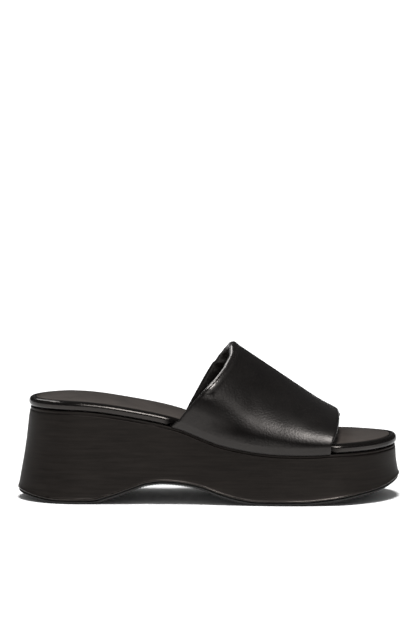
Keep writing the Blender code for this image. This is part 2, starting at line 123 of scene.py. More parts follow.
# side line of the deck: pitch is the share of the fall from heel to ball
deckRows = [
    {"along": 0.00, "pitch": 1.000, "lift": 0},
    {"along": 0.11, "pitch": 1.000, "lift": 0},
    {"along": 0.165, "pitch": 0.985, "lift": 0},
    {"along": 0.215, "pitch": 0.945, "lift": 0},
    {"along": 0.265, "pitch": 0.880, "lift": 0},
    {"along": 0.32, "pitch": 0.795, "lift": 0},
    {"along": 0.375, "pitch": 0.695, "lift": 0},
    {"along": 0.425, "pitch": 0.575, "lift": 0},
    {"along": 0.478, "pitch": 0.385, "lift": 0},
    {"along": 0.53, "pitch": 0.220, "lift": 0},
    {"along": 0.584, "pitch": 0.115, "lift": 0},
    {"along": 0.635, "pitch": 0.045, "lift": 0},
    {"along": 0.69, "pitch": 0.010, "lift": 0},
    {"along": 0.75, "pitch": 0.000, "lift": 0},
    {"along": 0.84, "pitch": 0.000, "lift": 0.35},
    {"along": 0.92, "pitch": 0.000, "lift": 0.50},
    {"along": 1.00, "pitch": 0.000, "lift": 1.0},
]

# ground line under the outsole
groundRows = [
    {"along": 0.000, "heel": 1.00, "arch": 0, "toe": 0},
    {"along": 0.030, "heel": 0.60, "arch": 0, "toe": 0},
    {"along": 0.065, "heel": 0.22, "arch": 0, "toe": 0},
    {"along": 0.100, "heel": 0, "arch": 0, "toe": 0},
    {"along": 0.195, "heel": 0, "arch": 0, "toe": 0},
    {"along": 0.240, "heel": 0, "arch": 0.22, "toe": 0},
    {"along": 0.295, "heel": 0, "arch": 0.60, "toe": 0},
    {"along": 0.345, "heel": 0, "arch": 0.93, "toe": 0},
    {"along": 0.380, "heel": 0, "arch": 1.00, "toe": 0},
    {"along": 0.425, "heel": 0, "arch": 0.94, "toe": 0},
    {"along": 0.480, "heel": 0, "arch": 0.73, "toe": 0},
    {"along": 0.530, "heel": 0, "arch": 0.38, "toe": 0},
    {"along": 0.580, "heel": 0, "arch": 0.12, "toe": 0},
    {"along": 0.625, "heel": 0, "arch": 0, "toe": 0},
    {"along": 0.740, "heel": 0, "arch": 0, "toe": 0},
    {"along": 0.790, "heel": 0, "arch": 0, "toe": 0.08},
    {"along": 0.845, "heel": 0, "arch": 0, "toe": 0.22},
    {"along": 0.900, "heel": 0, "arch": 0, "toe": 0.41},
    {"along": 0.950, "heel": 0, "arch": 0, "toe": 0.60},
    {"along": 1.000, "heel": 0, "arch": 0, "toe": 1.00},
]

for row in outlineRows:
    row["outerHalf"] = row["outer"] * sole[row["of"]] / 2
    row["innerHalf"] = row["inner"] * sole[row["of"]] / 2


def deckHeight(x):
    along = (x - heelX) / soleLength
    fall = sole["heelHeight"] - sole["ballHeight"]
    lift = sole["deckToeLift"] * readRow(deckRows, "along", "lift", along)
    return sole["ballHeight"] + fall * readRow(deckRows, "along", "pitch", along) + lift


def groundHeight(x):
    along = (x - heelX) / soleLength
    return (
        sole["heelBevel"] * readRow(groundRows, "along", "heel", along)
        + sole["archHeight"] * readRow(groundRows, "along", "arch", along)
        + sole["toeSpring"] * readRow(groundRows, "along", "toe", along)
    )


def halfWidth(x, side):
    fromHeel = x - heelX - sole["deckSetback"]
    fromToe = sole["deckLength"] - fromHeel
    full = readRow(outlineRows, "along", side + "Half", fromHeel / sole["deckLength"])
    if fromHeel < sole["heelRound"]:
        share = max(0, 1 - fromHeel / sole["heelRound"])
        return full * math.sqrt(max(0, 1 - share * share))
    if fromToe < sole["toeRound"]:
        share = max(0, 1 - fromToe / sole["toeRound"])
        rounding = max(0, 1 - share ** sole["toeSquareness"]) ** (1 / sole["toeSquareness"])
        tip = sole["toeTipOffset"] if side == "inner" else -sole["toeTipOffset"]
        return tip + (full - tip) * rounding
    return full


def outline(arcSteps=20, middleSteps=84):
    # the deck's edge: heel, outer side, toe, inner side, each place with its way outwards
    quarter = [math.pi / 2 * i / arcSteps for i in range(arcSteps + 1)]
    start = heelX + sole["deckSetback"]
    end = start + sole["deckLength"]
    first, last = start + sole["heelRound"], end - sole["toeRound"]
    places = [start + sole["heelRound"] * (1 - math.cos(a)) for a in quarter]
    places += [first + (last - first) * i / middleSteps for i in range(1, middleSteps)]
    places += [end - sole["toeRound"] * (1 - math.cos(a)) for a in reversed(quarter)]
    points = [Vector((places[0], 0))]
    points += [Vector((x, -halfWidth(x, "outer"))) for x in places[1:-1]]
    points += [Vector((places[-1], sole["toeTipOffset"]))]
    points += [Vector((x, halfWidth(x, "inner"))) for x in reversed(places[1:-1])]
    edge = []
    for i, point in enumerate(points):
        along = points[(i + 1) % len(points)] - points[i - 1]
        along.normalize()
        edge.append((point, Vector((along.y, -along.x))))
    return edge


def ring(edge, out, height):
    # a closed row of points, moved off the deck's edge by out(way, x, y)
    row = []
    for point, way in edge:
        spot = point + way * out(way, point.x, point.y)
        row.append(Vector((spot.x, spot.y + shoeLineY, height(spot.x, spot.y))))
    return row


def flare(way):
    back, front = max(0, -way.x) ** 2, max(0, way.x) ** 2
    side = sole["sideFlare"]
    return side + (sole["heelFlare"] - side) * back + (sole["toeFlare"] - side) * front


# Mesh building

def growRings(bm, rows):
    # a circle takes the first row's shape, and is extruded from row to row
    bmesh.ops.create_circle(bm, segments=len(rows[0]), radius=1)
    loop = bm.verts[:]
    edges = bm.edges[:]
    for vert, spot in zip(loop, rows[0]):
        vert.co = spot
    loops = [loop]
    for row in rows[1:]:
        grown = bmesh.ops.extrude_edge_only(bm, edges=edges)["geom"]
        new = {part for part in grown if isinstance(part, bmesh.types.BMVert)}
        edges = [part for part in grown if isinstance(part, bmesh.types.BMEdge)]
        loop = [next(e.other_vert(v) for e in v.link_edges if e.other_vert(v) in new) for v in loop]
        for vert, spot in zip(loop, row):
            vert.co = spot
        loops.append(loop)
    return loops


def towardsMiddle(row, share, height):
    # the same row drawn towards the line that runs along the middle of the foot
    count = len(row)
    drawn = []
    for i, spot in enumerate(row):
        other = row[(count - i) % count]
        middle = (spot + other) / 2
        place = spot.lerp(middle, share)
        across = 1 - share
        drawn.append(Vector((place.x, place.y, height(place.x, across))))
    return drawn


def finishPiece(name, bm, finishes, smooth=True):
    bmesh.ops.remove_doubles(bm, verts=bm.verts[:], dist=0.01 * mm)
    bmesh.ops.recalc_face_normals(bm, faces=bm.faces[:])
    mesh = bpy.data.meshes.new(name)
    bm.to_mesh(mesh)
    bm.free()
    if smooth:
        mesh.shade_smooth()
        mesh.set_sharp_from_angle(angle=math.radians(50))
    piece = bpy.data.objects.new(name, mesh)
    bpy.context.scene.collection.objects.link(piece)
    for finish in finishes:
        mesh.materials.append(finish)
    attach(piece, "root")
    return piece


# Materials

def srgb(hexColour):
    channels = [int(hexColour[i:i + 2], 16) / 255 for i in (1, 3, 5)]
    linear = [c / 12.92 if c <= 0.04045 else ((c + 0.055) / 1.055) ** 2.4 for c in channels]
    return (*linear, 1)


def addNode(tree, kind, settings=None, links=None):
    # makes a node, sets its properties and sockets, and links sockets from (node, socket) pairs
    node = tree.nodes.new(kind)
    for key, value in (settings or {}).items():
        if hasattr(node, key):
            setattr(node, key, value)
        else:
            node.inputs[key].default_value = value
    for key, (source, socket) in (links or {}).items():
        tree.links.new(source.outputs[socket], node.inputs[key])
    return node


def newMaterial(name, colour, roughness, settings=None):
    material = bpy.data.materials.new(name)
    material.use_nodes = True
    tree = material.node_tree
    shader = tree.nodes["Principled BSDF"]
    shader.inputs["Base Color"].default_value = srgb(colour)
    shader.inputs["Roughness"].default_value = roughness
    for key, value in (settings or {}).items():
        shader.inputs[key].default_value = value
    return material, tree, shader


def tint(tree, shader, factor, low, high):
    # colour between two hex values by a 0 to 1 factor
    ramp = addNode(tree, "ShaderNodeValToRGB", links={"Fac": factor})
    ramp.color_ramp.elements[0].color = srgb(low)
    ramp.color_ramp.elements[1].color = srgb(high)
    tree.links.new(ramp.outputs["Color"], shader.inputs["Base Color"])
    return ramp


def rangeTo(tree, factor, fromLow, fromHigh, toLow, toHigh):
    return addNode(tree, "ShaderNodeMapRange", {
        "From Min": fromLow, "From Max": fromHigh, "To Min": toLow, "To Max": toHigh,
    }, {"Value": factor})


def leatherGrain(tree, coords, pebble, strength, softness=1.0):
    # fine pebbles and a slower unevenness, as a bump
    cells = addNode(tree, "ShaderNodeTexVoronoi",
                    {"feature": "SMOOTH_F1", "Scale": 1 / pebble, "Smoothness": 0.6},
                    {"Vector": coords})
    fine = addNode(tree, "ShaderNodeBump", {"Strength": strength, "Distance": 0.075 * mm},
                   {"Height": (cells, "Distance")})
    slow = addNode(tree, "ShaderNodeTexNoise", {"Scale": 1 / (9 * mm), "Detail": 3, "Roughness": 0.5},
                   {"Vector": coords})
    return addNode(tree, "ShaderNodeBump", {"Strength": 0.35 * softness, "Distance": 0.35 * mm},
                   {"Height": (slow, "Fac"), "Normal": (fine, "Normal")})


def nappaLeather():
    # Nappa: soft full grain leather, drum dyed, with a thin satin topcoat. The eye sees a broad
    # soft highlight, tiny pebbles and a slightly warm black.
    material, tree, shader = newMaterial("padded nappa leather", "#121110", 0.36, {
        "Specular IOR Level": 0.42, "Specular Tint": srgb("#fff8f3"),
    })
    coords = (addNode(tree, "ShaderNodeTexCoord"), "Object")
    cloud = addNode(tree, "ShaderNodeTexNoise", {"Scale": 1 / (14 * mm), "Detail": 4},
                    {"Vector": coords})
    tint(tree, shader, (cloud, "Fac"), "#0f0e0e", "#161413")
    rough = rangeTo(tree, (cloud, "Fac"), 0.3, 0.7, 0.33, 0.42)
    # painted highlight: a gloss mask raises the reflection on the rim and on the shoulder towards the toes, and
    # dims it on the rest
    paintedGloss = addNode(tree, "ShaderNodeAttribute", {"attribute_name": "paintedGloss"})
    smoother = rangeTo(tree, (paintedGloss, "Fac"), 1.8, 2.6, 0, -0.12)
    finish = addNode(tree, "ShaderNodeMath", {"operation": "ADD"},
                     {0: (rough, "Result"), 1: (smoother, "Result")})
    tree.links.new(finish.outputs["Value"], shader.inputs["Roughness"])
    gloss = rangeTo(tree, (paintedGloss, "Fac"), 0, 2, 0, 0.9)
    tree.links.new(gloss.outputs["Result"], shader.inputs["Specular IOR Level"])
    grain = leatherGrain(tree, coords, 1.3 * mm, 1.0, 0.45)
    tree.links.new(grain.outputs["Normal"], shader.inputs["Normal"])
    return material


def liningLeather():
    # Lining: thin split pigskin, unfinished, so it is matt, warm and has scattered pores.
    material, tree, shader = newMaterial("matt lining leather", "#2a2421", 0.72, {
        "Specular IOR Level": 0.2,
    })
    coords = (addNode(tree, "ShaderNodeTexCoord"), "Object")
    cloud = addNode(tree, "ShaderNodeTexNoise", {"Scale": 1 / (5 * mm), "Detail": 6, "Roughness": 0.6},
                    {"Vector": coords})
    tint(tree, shader, (cloud, "Fac"), "#544d49", "#6a625e")
    grain = leatherGrain(tree, coords, 1.1 * mm, 0.5)
    tree.links.new(grain.outputs["Normal"], shader.inputs["Normal"])
    return material


def rolledLeather():
    # The same leather rolled tight over the footbed's edge, so it is smoother and shinier.
    material, tree, shader = newMaterial("rolled edge leather", "#0f0e0e", 0.17, {
        "Specular IOR Level": 0.45, "Specular Tint": srgb("#fff6ef"),
    })
    coords = (addNode(tree, "ShaderNodeTexCoord"), "Object")
    cloud = addNode(tree, "ShaderNodeTexNoise", {"Scale": 1 / (10 * mm), "Detail": 4},
                    {"Vector": coords})
    tint(tree, shader, (cloud, "Fac"), "#0e0d0d", "#151312")
    # painted shade: the reflection is dimmed at the turns at heel and toe
    place = addNode(tree, "ShaderNodeSeparateXYZ", links={"Vector": coords})
    fromMiddle = addNode(tree, "ShaderNodeMath", {"operation": "ABSOLUTE"}, {0: (place, "X")})
    gloss = rangeTo(tree, (fromMiddle, "Value"), 108 * mm, 122 * mm, 0.44, 0.1)
    # painted shade: the reflection is dimmed beside the band
    paintedGloss = addNode(tree, "ShaderNodeAttribute", {"attribute_name": "paintedGloss"})
    paintedSheen = addNode(tree, "ShaderNodeMath", {"operation": "MULTIPLY"},
                    {0: (gloss, "Result"), 1: (paintedGloss, "Fac")})
    tree.links.new(paintedSheen.outputs["Value"], shader.inputs["Specular IOR Level"])
    grain = leatherGrain(tree, coords, 0.8 * mm, 0.22, 0.6)
    tree.links.new(grain.outputs["Normal"], shader.inputs["Normal"])
    return material


def sockLeather():
    # Sock: buffed lining leather, matt with a short nap, with an uneven tone and a painted sheen that lightens
    # it towards the outer side.
    material, tree, shader = newMaterial("buffed sock leather", "#433b36", 0.68, {
        "Specular IOR Level": 0.25,
    })
    coords = (addNode(tree, "ShaderNodeTexCoord"), "Object")
    cloud = addNode(tree, "ShaderNodeTexNoise", {"Scale": 1 / (16 * mm), "Detail": 6, "Roughness": 0.62},
                    {"Vector": coords})
    # painted sheen: lighter towards the outer side
    place = addNode(tree, "ShaderNodeSeparateXYZ", links={"Vector": coords})
    outward = rangeTo(tree, (place, "Y"), 34 * mm, -36 * mm, -0.35, 0.35)
    toneAndPaintedSheen = addNode(tree, "ShaderNodeMath", {"operation": "ADD"},
                   {0: (cloud, "Fac"), 1: (outward, "Result")})
    tint(tree, shader, (toneAndPaintedSheen, "Value"), "#2a2624", "#46403c")
    grain = leatherGrain(tree, coords, 0.9 * mm, 0.45, 0.5)
    tree.links.new(grain.outputs["Normal"], shader.inputs["Normal"])
    return material


def wrappedLeather():
    # Platform wrap: corrected grain leather glued flat on the wedge, with a matt pigment
    # finish. Rolling leaves faint level streaks.
    material, tree, shader = newMaterial("platform wrap leather", "#131211", 0.52, {
        "Specular IOR Level": 0.15, "Specular Tint": srgb("#fff2e9"),
    })
    coords = (addNode(tree, "ShaderNodeTexCoord"), "Object")
    stretched = addNode(tree, "ShaderNodeMapping", {"Scale": (1, 1, 14)}, {"Vector": coords})
    streaks = addNode(tree, "ShaderNodeTexNoise", {"Scale": 1 / (22 * mm), "Detail": 7, "Roughness": 0.6},
                      {"Vector": (stretched, "Vector")})
    ramp = tint(tree, shader, (streaks, "Fac"), "#100e0d", "#1f1c1a")
    ramp.color_ramp.elements[0].position = 0.3
    ramp.color_ramp.elements[1].position = 0.7
    rough = rangeTo(tree, (streaks, "Fac"), 0.3, 0.7, 0.46, 0.58)
    # painted highlight: the folded lip at the base is given extra gloss, so a bright line runs along it
    paintedGloss = addNode(tree, "ShaderNodeAttribute", {"attribute_name": "paintedGloss"})
    smoother = rangeTo(tree, (paintedGloss, "Fac"), 0, 1, 0, -0.26)
    finish = addNode(tree, "ShaderNodeMath", {"operation": "ADD"},
                     {0: (rough, "Result"), 1: (smoother, "Result")})
    tree.links.new(finish.outputs["Value"], shader.inputs["Roughness"])
    gloss = rangeTo(tree, (paintedGloss, "Fac"), 0, 1, 0.15, 0.5)
    tree.links.new(gloss.outputs["Result"], shader.inputs["Specular IOR Level"])
    fine = addNode(tree, "ShaderNodeTexVoronoi", {"feature": "SMOOTH_F1", "Scale": 1 / (0.7 * mm)},
                   {"Vector": coords})
    pebbles = addNode(tree, "ShaderNodeBump", {"Strength": 0.2, "Distance": 0.04 * mm},
                      {"Height": (fine, "Distance")})
    relief = addNode(tree, "ShaderNodeBump", {"Strength": 0.3, "Distance": 0.15 * mm},
                     {"Height": (streaks, "Fac"), "Normal": (pebbles, "Normal")})
    tree.links.new(relief.outputs["Normal"], shader.inputs["Normal"])
    return material


def outsoleRubber():
    # Outsole: moulded black rubber, matt from the mould, with a little floor dust.
    material, tree, shader = newMaterial("moulded outsole rubber", "#222120", 0.70, {
        "Specular IOR Level": 0.35,
    })
    coords = (addNode(tree, "ShaderNodeTexCoord"), "Object")
    dust = addNode(tree, "ShaderNodeTexNoise", {"Scale": 1 / (7 * mm), "Detail": 8, "Roughness": 0.65},
                   {"Vector": coords})
    tint(tree, shader, (dust, "Fac"), "#1d1c1b", "#2b2a28")
    relief = addNode(tree, "ShaderNodeBump", {"Strength": 0.25, "Distance": 0.08 * mm},
                     {"Height": (dust, "Fac")})
    tree.links.new(relief.outputs["Normal"], shader.inputs["Normal"])
    return material


# Outsole

outsole = {
    "thickness": 2.4 * mm, "inset": 0.9 * mm, "edge": 0.7 * mm,
    "ribPitch": 2.0 * mm, "ribWidth": 1.2 * mm, "ribDepth": 0.5 * mm, "ribInset": 0.4 * mm,
    "plainEnd": 32 * mm, "endInset": 6 * mm, "stepDepth": 1.5 * mm, "stepHeight": 0.7 * mm,
}


def makeOutsole(edge):
    o = outsole

    def row(inset, rise):
        return ring(edge, lambda way, x, y: flare(way) - o["inset"] - inset,
                    lambda x, y: groundHeight(x) + rise)

    low = row(1.6 * o["edge"], o["ribDepth"])
    rows = [towardsMiddle(low, share, lambda x, across: groundHeight(x) + o["ribDepth"])
            for share in (1, 0.75, 0.5, 0.25)]
    rows.append(low)
    for angle in (0, 30, 60, 90):
        turn = math.radians(angle)
        rows.append(row(o["edge"] * (1 - math.sin(turn)),
                        o["ribDepth"] + o["edge"] * (1 - math.cos(turn))))
    # a step under the platform's lip, which shows as a dark line
    rows.append(row(0, o["thickness"] - o["stepHeight"] - 0.15 * mm))
    rows.append(row(0.15 * mm, o["thickness"] - o["stepHeight"]))
    rows.append(row(o["stepDepth"], o["thickness"] - o["stepHeight"]))
    rows.append(row(o["stepDepth"], o["thickness"]))
    top = row(o["stepDepth"] + 1 * mm, o["thickness"])
    rows += [towardsMiddle(top, share, lambda x, across: groundHeight(x) + o["thickness"])
             for share in (0, 0.5, 1)]
    bm = bmesh.new()
    growRings(bm, rows)
    bmesh.ops.remove_doubles(bm, verts=bm.verts[:], dist=0.01 * mm)
    # cross ribs, one bar to each pitch, from side to side
    places = [(point.x + way.x * (flare(way) - o["inset"]), point.y + way.y * (flare(way) - o["inset"]))
              for point, way in edge]
    half = len(places) // 2
    outerSide = sorted(places[:half + 1])
    innerSide = sorted(places[half:] + places[:1])
    count = int((soleLength - 6 * mm) / o["ribPitch"])
    for i in range(count + 1):
        x = heelX + 3 * mm + o["ribPitch"] * i
        fromEnd = min(x - heelX, heelX + soleLength - x)
        inset = o["ribInset"] + o["endInset"] * (1 - smoothStep(fromEnd / o["plainEnd"]))
        near = readEdge(outerSide, x) + inset
        far = readEdge(innerSide, x) - inset
        if far < near:
            continue
        bar = bmesh.ops.create_cube(bm, size=1)["verts"]
        for vert in bar:
            low = vert.co.z < 0
            wide = o["ribWidth"] * (0.7 if low else 1) * (1 if vert.co.x > 0 else -1) / 2
            y = far if vert.co.y > 0 else near
            lift = 0 if low else o["ribDepth"] + 0.2 * mm
            vert.co = Vector((x + wide, y + shoeLineY, groundHeight(x + wide) + lift))
    return finishPiece("outsoleRibbed", bm, [outsoleRubber()])


def readEdge(places, x):
    # straight between the places of a side, sorted along the shoe
    xs = [place[0] for place in places]
    i = min(max(bisect.bisect_right(xs, x), 1), len(xs) - 1)
    (x0, y0), (x1, y1) = places[i - 1], places[i]
    return y0 + (y1 - y0) * (x - x0) / (x1 - x0) if x1 > x0 else y0


# Platform

platform = {
    "shoulder": 0.9 * mm, "randHeight": 1.5 * mm, "grooveDepth": 0.8 * mm, "grooveReach": 0.35 * mm,
    "lipRadius": 0.5 * mm, "lipDepth": 0.65 * mm, "lipHeight": 1.4 * mm, "hollow": 0.3 * mm,
}

# wrapped side: out is the share of the flare at each share of the height
sideRows = [
    {"down": 0.00, "out": 0.00},
    {"down": 0.10, "out": 0.13},
    {"down": 0.30, "out": 0.30},
    {"down": 0.55, "out": 0.54},
    {"down": 0.80, "out": 0.80},
    {"down": 1.00, "out": 1.00},
]


def makePlatform(edge):
    p = platform

    def side(down):
        def high(x):
            return deckHeight(x) - p["shoulder"]

        def low(x):
            return groundHeight(x) + outsole["thickness"] + gap + p["lipRadius"]

        def out(way, x, y):
            tall = high(x) - low(x)
            fromTop, fromBase = down * tall, (1 - down) * tall
            share = readRow(sideRows, "down", "out", down)
            groove = p["grooveDepth"] * bump(fromTop + p["shoulder"] - p["randHeight"] - p["grooveReach"],
                                             p["grooveReach"])
            lip = p["lipDepth"] * (1 - math.exp(-fromBase / p["lipHeight"])) * down
            hollow = p["hollow"] * math.sin(math.pi * down) ** 2
            return flare(way) * share - groove - lip - hollow

        return ring(edge, out, lambda x, y: high(x) + (low(x) - high(x)) * down)

    def shoulder(angle):
        inset = p["shoulder"] * (1 - math.sin(angle))
        drop = p["shoulder"] * (1 - math.cos(angle))
        return ring(edge, lambda way, x, y: -inset, lambda x, y: deckHeight(x) - drop)

    def base(angle):
        inset = p["lipRadius"] * (1 - math.cos(angle))
        drop = p["lipRadius"] * math.sin(angle)
        return ring(edge, lambda way, x, y: flare(way) - inset,
                    lambda x, y: groundHeight(x) + outsole["thickness"] + gap + p["lipRadius"] - drop)

    deck = shoulder(0)
    rows = [towardsMiddle(deck, share, lambda x, across: deckHeight(x)) for share in (1, 0.6, 0.2)]
    rows += [shoulder(math.radians(angle)) for angle in (0, 15, 30, 45, 60, 75)]
    downs = [0.01 * i for i in range(13)] + [0.15, 0.2] + [0.2 + 0.65 * i / 12 for i in range(1, 13)]
    downs += [0.87, 0.89, 0.91, 0.93, 0.945, 0.955, 0.965, 0.975, 0.985, 1]
    rows += [side(down) for down in downs]
    lipStart = len(rows) - 2
    rows += [base(math.radians(angle)) for angle in (22, 45, 68, 90)]
    lipEnd = len(rows)
    under = rows[-1]
    rows += [towardsMiddle(under, share, lambda x, across: groundHeight(x) + outsole["thickness"] + gap)
             for share in (0.2, 0.6, 1)]
    bm = bmesh.new()
    layer = bm.verts.layers.float.new("paintedGloss")
    # painted highlight: the lip's rows get the gloss mask
    for loop in growRings(bm, rows)[lipStart:lipEnd]:
        for vert in loop:
            vert[layer] = 1
    return finishPiece("platformWrapped", bm, [wrappedLeather()])


# Footbed and sock

footbed = {
    "thickness": 6.4 * mm, "overhang": 1.0 * mm, "neck": 1.6 * mm, "rim": 3.4 * mm,
    "dish": 1.6 * mm, "sockThickness": 1.1 * mm, "sockProud": 0.2 * mm, "sockEdge": 0.5 * mm,
    "dullNear": 0.5 * mm, "dullRamp": 5 * mm,
}

band = {
    "backNear": 105.5 * mm, "backFar": 111 * mm, "backTop": 147 * mm,
    "frontNear": 213.7 * mm, "frontFar": 216.5 * mm, "frontTop": 222 * mm,
    "instepTop": 106.9 * mm, "vampTop": 57.1 * mm,
    "wall": 5.2 * mm, "out": 3.6 * mm, "ridge": 10.5 * mm,
    "marginWall": 1.6 * mm, "marginDepth": 10 * mm, "marginRamp": 2 * mm,
    "stepsOver": 150, "stepsAlong": 64, "rimPaintedGloss": 2.6,
}


def fromSlot(x, y):
    # distance along the shoe from where the band's margin lies under the footbed
    side = "Near" if y < 0 else "Far"
    return max(heelX + band["back" + side] - gap - x, x - heelX - band["front" + side] - gap)


def slotShare(x, y):
    return 1 - smoothStep(fromSlot(x, y) / band["marginRamp"])


def footbedLow(x, y):
    return deckHeight(x) + gap + (band["marginWall"] + gap) * slotShare(x, y)


def footbedTop(x):
    return deckHeight(x) + gap + footbed["thickness"]


def dish(x, across):
    along = (x - heelX - sole["deckSetback"]) / sole["deckLength"]
    fade = 1 - smoothStep((along - 0.30) / 0.35)
    return -footbed["dish"] * fade * (1 - across * across)


def makeFootbed(edge):
    f = footbed

    def rolled(angle):
        rise = 0.5 + 0.5 * math.sin(angle)

        def out(way, x, y):
            pulled = slotShare(x, y)
            bulge = f["overhang"] * (1 - pulled) + gap / 2 * pulled
            return (bulge + f["neck"]) * math.cos(angle) - f["neck"]

        def level(x, y):
            low = footbedLow(x, y)
            return low + (footbedTop(x) - low) * rise

        return ring(edge, out, level)

    depth = band["marginDepth"] + gap
    under = ring(edge, lambda way, x, y: -depth - gap, lambda x, y: deckHeight(x) + gap)
    rows = [towardsMiddle(under, share, lambda x, across: deckHeight(x) + gap) for share in (1, 0.5, 0)]
    rows.append(ring(edge, lambda way, x, y: -depth, footbedLow))
    rows += [rolled(math.radians(-90 + 8 * i)) for i in range(21)]
    recess = f["sockThickness"] - f["sockProud"] + gap
    for inset, drop in ((0.55, 0), (0.70, 0.08), (0.82, 0.25), (0.93, 0.5), (1, 0.8)):
        rows.append(ring(edge, lambda way, x, y: -f["rim"] * inset, lambda x, y: footbedTop(x) - recess * drop))
    floor = ring(edge, lambda way, x, y: -f["rim"] - gap, lambda x, y: footbedTop(x) - recess)
    rows += [towardsMiddle(floor, share, lambda x, across: footbedTop(x) - recess + dish(x, across))
             for share in (0, 0.3, 0.6, 0.85, 1)]
    bm = bmesh.new()
    layer = bm.verts.layers.float.new("paintedGloss")
    # painted shade: the gloss mask dims the rolled edge beside the band's margin
    for loop in growRings(bm, rows):
        for vert in loop:
            away = fromSlot(vert.co.x, vert.co.y - shoeLineY)
            vert[layer] = smoothStep((away - f["dullNear"]) / f["dullRamp"])
    piece = finishPiece("footbedRolled", bm, [rolledLeather()])
    return piece


def makeSock(edge):
    f = footbed
    floor = f["sockProud"] - f["sockThickness"]

    def row(extra, rise):
        inset = f["rim"] + 2 * gap + extra
        return ring(edge, lambda way, x, y: -inset, lambda x, y: footbedTop(x) + rise)

    low = row(f["sockEdge"], floor)
    rows = [towardsMiddle(low, share, lambda x, across: footbedTop(x) + floor + dish(x, across))
            for share in (1, 0.6, 0.3, 0)]
    rows.append(row(0, floor + 0.1 * mm))
    for angle in (0, 30, 60, 90):
        turn = math.radians(angle)
        rows.append(row(f["sockEdge"] * (1 - math.cos(turn)),
                        f["sockProud"] - f["sockEdge"] * (1 - math.sin(turn))))
    top = rows[-1]
    shares = (0.03, 0.07, 0.12, 0.2, 0.3, 0.4, 0.5, 0.6, 0.7, 0.8, 0.9, 1)
    rows += [towardsMiddle(top, share, lambda x, across: footbedTop(x) + f["sockProud"] + dish(x, across))
             for share in shares]
    bm = bmesh.new()
    growRings(bm, rows)
    return finishPiece("sockCover", bm, [sockLeather()])


# Band

# edges of the band: back and front are shares of the way from the seam's end to the top
edgeRows = [
    {"over": 0.00, "back": 0.11, "front": 0.00},
    {"over": 0.07, "back": 0.33, "front": 0.32},
    {"over": 0.13, "back": 0.52, "front": 0.52},
    {"over": 0.20, "back": 0.73, "front": 0.68},
    {"over": 0.28, "back": 0.90, "front": 0.82},
    {"over": 0.38, "back": 1.00, "front": 0.94},
    {"over": 0.50, "back": 1.00, "front": 1.00},
    {"over": 0.60, "back": 0.95, "front": 1.00},
    {"over": 0.70, "back": 0.82, "front": 0.92},
    {"over": 0.74, "back": 0.740, "front": 0.87},
    {"over": 0.77, "back": 0.678, "front": 0.83},
    {"over": 0.785, "back": 0.635, "front": 0.805},
    {"over": 0.80, "back": 0.60, "front": 0.78},
    {"over": 0.90, "back": 0.36, "front": 0.50},
    {"over": 1.00, "back": 0.11, "front": 0.00},
]

crownRows = [
    {"along": -0.60, "fall": -0.62, "round": 1.95, "flank": 2.60},
    {"along": -0.30, "fall": -0.31, "round": 1.95, "flank": 2.20},
    {"along": -0.10, "fall": -0.103, "round": 1.95, "flank": 1.92},
    {"along": 0.08, "fall": 0.083, "round": 1.96, "flank": 1.72},
    {"along": 0.24, "fall": 0.249, "round": 1.99, "flank": 1.62},
    {"along": 0.40, "fall": 0.415, "round": 2.02, "flank": 1.66},
    {"along": 0.61, "fall": 0.634, "round": 2.12, "flank": 1.88},
    {"along": 0.83, "fall": 0.858, "round": 2.28, "flank": 2.15},
    {"along": 0.94, "fall": 0.950, "round": 2.36, "flank": 2.25},
    {"along": 1.00, "fall": 1.000, "round": 2.40, "flank": 2.30},
]

# where the band turns under the footbed: shares of its wall, turn in degrees below level
footRows = [
    {"out": 0.42, "up": 0.98, "wall": 0.50, "turn": 4, "sweep": 0.68},
    {"out": 0.33, "up": 0.42, "wall": 0.46, "turn": 22, "sweep": 0.28},
    {"out": 0.10, "up": 0.13, "wall": 0.40, "turn": 62, "sweep": 0.06},
]

# soft folds pressed into the band, from place a to place b: depth and reach in walls
foldRows = [
    {"alongA": 0.20, "overA": 0.055, "alongB": 0.98, "overB": 0.045, "depth": 0.055, "reach": 1.3},
    {"alongA": 0.03, "overA": 0.760, "alongB": 0.16, "overB": 0.70, "depth": 0.15, "reach": 0.45},
    {"alongA": 0.00, "overA": 0.795, "alongB": 0.10, "overB": 0.775, "depth": -0.10, "reach": 0.4},
    {"alongA": 0.00, "overA": 0.116, "alongB": 0.06, "overB": 0.132, "depth": 0.12, "reach": 0.3},
]

# painted highlight of the band, as a gloss mask: down from the crown to the outer foot, and from the back edge
# to the front
paintedGlossDown = [
    {"down": 0.00, "paintedGloss": 1.0},
    {"down": 0.70, "paintedGloss": 1.0},
    {"down": 0.75, "paintedGloss": 0.85},
    {"down": 0.80, "paintedGloss": 0.50},
    {"down": 0.84, "paintedGloss": 0.20},
    {"down": 0.88, "paintedGloss": 0.05},
    {"down": 0.92, "paintedGloss": 0.30},
    {"down": 0.96, "paintedGloss": 0.90},
    {"down": 1.00, "paintedGloss": 1.00},
]
paintedGlossAlong = [
    {"along": 0.00, "paintedGloss": 0.12},
    {"along": 0.29, "paintedGloss": 0.16},
    {"along": 0.40, "paintedGloss": 0.36},
    {"along": 0.47, "paintedGloss": 0.55},
    {"along": 0.54, "paintedGloss": 0.68},
    {"along": 0.61, "paintedGloss": 0.95},
    {"along": 0.69, "paintedGloss": 1.20},
    {"along": 0.83, "paintedGloss": 1.10},
    {"along": 0.90, "paintedGloss": 1.30},
    {"along": 0.96, "paintedGloss": 1.70},
    {"along": 0.98, "paintedGloss": 1.50},
    {"along": 1.00, "paintedGloss": 0.50},
]


